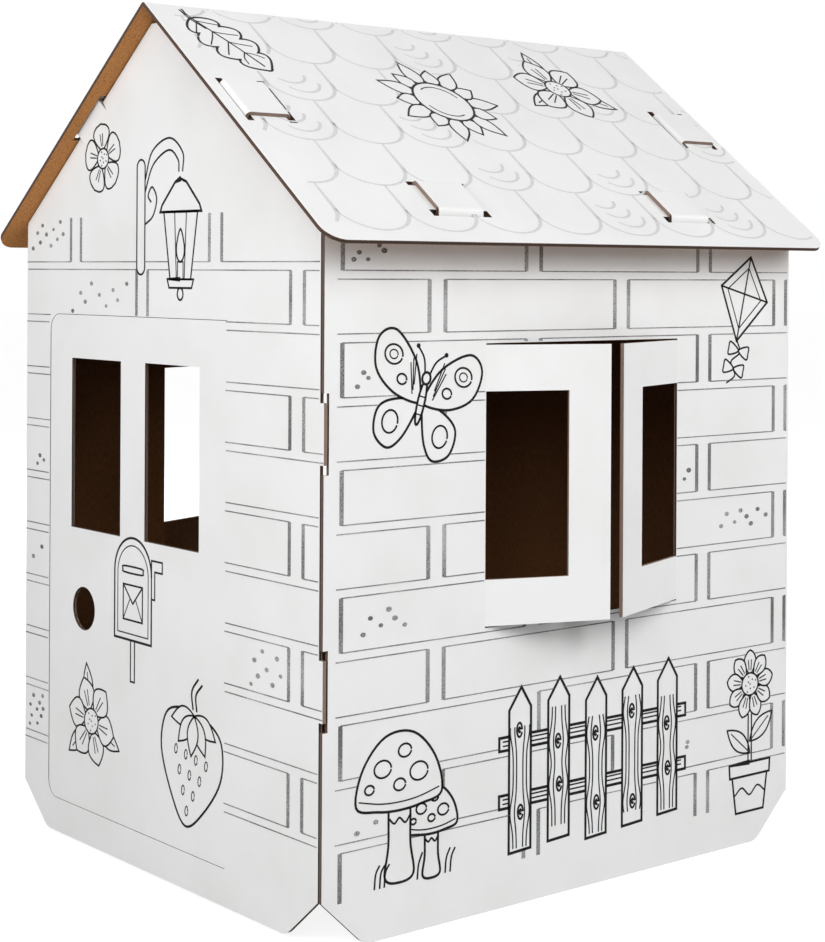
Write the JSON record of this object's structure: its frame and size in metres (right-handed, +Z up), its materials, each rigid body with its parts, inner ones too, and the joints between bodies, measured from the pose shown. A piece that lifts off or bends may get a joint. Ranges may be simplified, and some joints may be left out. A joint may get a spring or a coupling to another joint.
{
  "type": "cardboard playhouse",
  "caption": "Child's playhouse of folded corrugated board: a gabled house with a door, shuttered windows and a roof locked on by tabs.",
  "frame": {"origin": "on the floor under the middle of the house", "axes": "+Z up; the gable with the door faces -Y; the roof's fold line runs along Y; a shuttered side wall faces +X"},
  "size_m": [0.844, 0.882, 1.1474],
  "materials": {
    "printed_board": "white liner outside, brown inside, printed with grey and black lines",
    "roof_board": "white liner outside, brown inside, printed with grey tiles"
  },
  "bodies": {
    "root": {"door_sheet": "printed_board", "window_sheet": "printed_board", "roof_sheet": "roof_board"}
  },
  "joints": []
}
